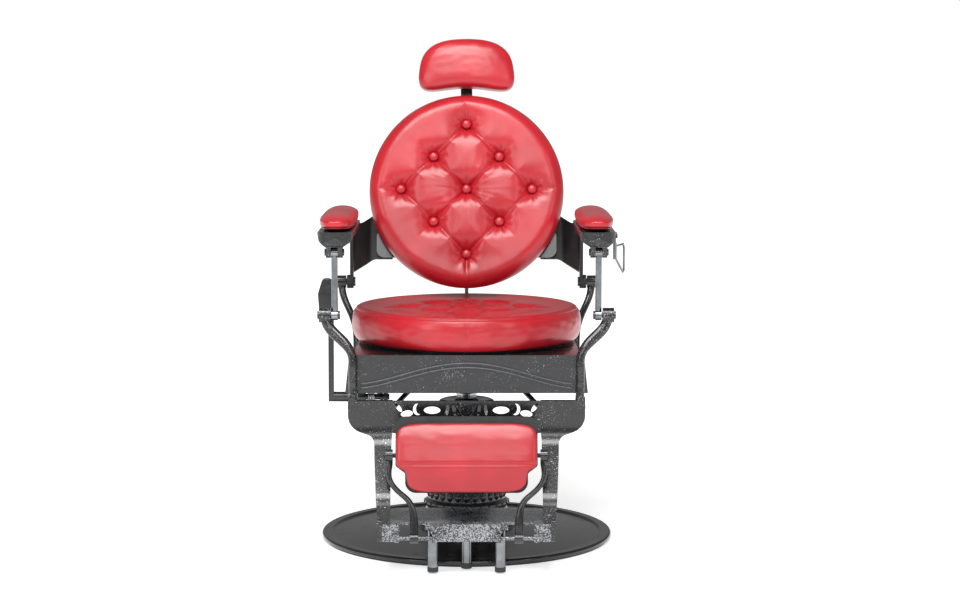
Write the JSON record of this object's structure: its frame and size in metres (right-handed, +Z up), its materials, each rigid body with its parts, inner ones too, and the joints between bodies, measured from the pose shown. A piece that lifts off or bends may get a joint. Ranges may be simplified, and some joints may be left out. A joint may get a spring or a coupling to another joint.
{
  "type": "hydraulic barber chair",
  "caption": "Barber chair with a round buttoned back and seat, level padded armrests, calf rest, lattice footrest frame and a hydraulic column on a round base.",
  "frame": {"origin": "centre of the round base where it stands on the floor", "axes": "+Z up; -Y is the way the sitter faces; +X is the sitter's left"},
  "size_m": [0.7273, 0.8374, 1.2016],
  "materials": {
    "black_board": "plywood painted black",
    "black_casting": "hammertone black enamel with silver flecks",
    "black_plastic": "moulded black",
    "bronze": "machined bronze",
    "chrome": "polished",
    "gloss_black": "smooth gloss black",
    "plywood": "bare plywood",
    "red_leather": "glossy red upholstery leather",
    "rubber": "matt black",
    "steel": "machined"
  },
  "bodies": {
    "base": {"base_plate": "black_casting", "floor_ring": "rubber", "pump_housing": "black_casting", "pump_cylinder": "steel", "column_cap": "chrome", "housing_bolts": "steel"},
    "ram": {"ram": "steel", "ram_piston": "steel", "thrust_bearing": "steel"},
    "pump_rod": {"pump_rod": "steel"},
    "seat": {"swivel_hub": "bronze", "seat_deck": "gloss_black", "seat_board": "black_board", "seat_cushion": "red_leather", "apron_front": "black_casting", "apron_left": "gloss_black", "apron_right": "gloss_black", "apron_rear": "gloss_black", "side_frame_left": "black_casting", "side_frame_right": "black_casting", "lattice_plate": "black_casting", "footrest_tread": "black_casting", "foot_posts": "chrome", "foot_tips": "rubber", "seat_braces": "gloss_black", "rear_arm_left": "black_casting", "rear_arm_right": "black_casting", "arm_pivot_pins": "gloss_black", "frame_bolts": "gloss_black", "lever_bearing": "gloss_black", "lever_spring": "steel"},
    "back": {"back_bracket_left": "black_casting", "back_bracket_right": "black_casting", "back_frame": "gloss_black", "back_board": "plywood", "back_cushion": "red_leather", "back_buttons": "red_leather", "headrest_socket": "gloss_black"},
    "headrest_bar": {"headrest_bar": "gloss_black"},
    "headrest": {"headrest_bracket": "steel", "headrest_pad": "red_leather"},
    "headrest_knob": {"headrest_knob": "black_plastic"},
    "armrest_left": {"armrest_body_left": "black_casting", "armrest_pad_left": "red_leather", "armrest_pins_left": "gloss_black"},
    "armrest_right": {"armrest_body_right": "black_casting", "armrest_pad_right": "red_leather", "armrest_pins_right": "gloss_black"},
    "arm_rod_left": {"arm_rod_left": "chrome"},
    "arm_rod_right": {"arm_rod_right": "chrome"},
    "towel_ring": {"towel_ring": "chrome"},
    "lever": {"lever_bar": "gloss_black", "lever_grip": "black_plastic"},
    "pump_link": {"pump_link": "steel"},
    "pump_cross_shaft": {"pump_cross_shaft": "steel"},
    "calf_arms": {"calf_arms": "gloss_black"},
    "calf_rest": {"calf_board": "black_board", "calf_pad": "red_leather"},
    "strut_tube": {"strut_tube": "steel"},
    "strut_rod": {"strut_rod": "chrome"}
  },
  "joints": [
    {"name": "seat_lift", "type": "slide", "parent": "base", "child": "ram", "axis": [0, 0, 1], "range_m": [0, 0.15]},
    {"name": "seat_swivel", "type": "hinge", "parent": "ram", "child": "seat", "pos_m": [0, 0, 0.36], "axis": [0, 0, 1], "continuous": true},
    {"name": "pump_rod_plunge", "type": "slide", "parent": "ram", "child": "pump_rod", "axis": [0, 0, -1], "range_m": [0, 0.0345]},
    {"name": "back_recline", "type": "hinge", "parent": "seat", "child": "back", "pos_m": [0, 0.215, 0.598], "axis": [-1, 0, 0], "range_deg": [0, 50]},
    {"name": "armrest_left_level", "type": "hinge", "parent": "back", "child": "armrest_left", "pos_m": [0.303, 0.215, 0.743], "axis": [-1, 0, 0], "range_deg": [-50, 0]},
    {"name": "armrest_right_level", "type": "hinge", "parent": "back", "child": "armrest_right", "pos_m": [-0.303, 0.215, 0.743], "axis": [-1, 0, 0], "range_deg": [-50, 0]},
    {"name": "arm_rod_left_swing", "type": "hinge", "parent": "seat", "child": "arm_rod_left", "pos_m": [0.303, -0.245, 0.568], "axis": [-1, 0, 0], "range_deg": [0, 50]},
    {"name": "arm_rod_right_swing", "type": "hinge", "parent": "seat", "child": "arm_rod_right", "pos_m": [-0.303, -0.245, 0.568], "axis": [-1, 0, 0], "range_deg": [0, 50]},
    {"name": "strut_rod_swing", "type": "hinge", "parent": "seat", "child": "strut_rod", "pos_m": [0, 0.295, 0.435], "axis": [-1, 0, 0], "range_deg": [0, 25]},
    {"name": "strut_tube_swing", "type": "hinge", "parent": "back", "child": "strut_tube", "pos_m": [0, 0.32136, 0.74516], "axis": [-1, 0, 0], "range_deg": [-25, 0]},
    {"name": "headrest_slide", "type": "slide", "parent": "back", "child": "headrest_bar", "axis": [0, 0.2164, 0.9763], "range_m": [0, 0.09]},
    {"name": "headrest_tilt", "type": "hinge", "parent": "headrest_bar", "child": "headrest", "pos_m": [0, 0.38437, 1.0976], "axis": [-1, 0, 0], "range_deg": [0, 30]},
    {"name": "headrest_knob_turn", "type": "hinge", "parent": "back", "child": "headrest_knob", "pos_m": [0, 0.35908, 0.91884], "axis": [0, 0.9763, -0.2164], "range_deg": [-180, 180]},
    {"name": "lever_push", "type": "hinge", "parent": "seat", "child": "lever", "pos_m": [-0.3, -0.06, 0.35], "axis": [1, 0, 0], "range_deg": [0, 25], "stiffness_Nm_per_rad": 4, "springref_deg": -5.73},
    {"name": "pump_link_swing", "type": "hinge", "parent": "lever", "child": "pump_link", "pos_m": [-0.21, -0.024, 0.35], "axis": [1, 0, 0], "range_deg": [-25, 0]},
    {"name": "cross_shaft_turn", "type": "hinge", "parent": "seat", "child": "pump_cross_shaft", "pos_m": [0, 0.07, 0.44], "axis": [1, 0, 0], "range_deg": [0, 25]},
    {"name": "calf_rest_fold", "type": "hinge", "parent": "seat", "child": "calf_arms", "pos_m": [0, -0.433, 0.086], "axis": [1, 0, 0], "range_deg": [0, 95]},
    {"name": "calf_pad_tilt", "type": "hinge", "parent": "calf_arms", "child": "calf_rest", "pos_m": [0, -0.391, 0.267], "axis": [1, 0, 0], "range_deg": [-15, 15]},
    {"name": "towel_ring_swing", "type": "hinge", "parent": "armrest_left", "child": "towel_ring", "pos_m": [0.346, -0.15, 0.71], "axis": [0, 0, 1], "range_deg": [-80, 60]}
  ],
  "couplings": [
    {"joint": "armrest_left_level", "follows": "back_recline", "ratio": -1},
    {"joint": "armrest_right_level", "follows": "back_recline", "ratio": -1},
    {"joint": "arm_rod_left_swing", "follows": "back_recline", "ratio": 1},
    {"joint": "arm_rod_right_swing", "follows": "back_recline", "ratio": 1},
    {"joint": "strut_rod_swing", "follows": "back_recline", "ratio": 0.5},
    {"joint": "strut_tube_swing", "follows": "back_recline", "ratio": -0.5},
    {"joint": "pump_link_swing", "follows": "lever_push", "ratio": -1},
    {"joint": "cross_shaft_turn", "follows": "lever_push", "ratio": 1},
    {"joint": "pump_rod_plunge", "follows": "lever_push", "m_per_rad": 0.078}
  ]
}
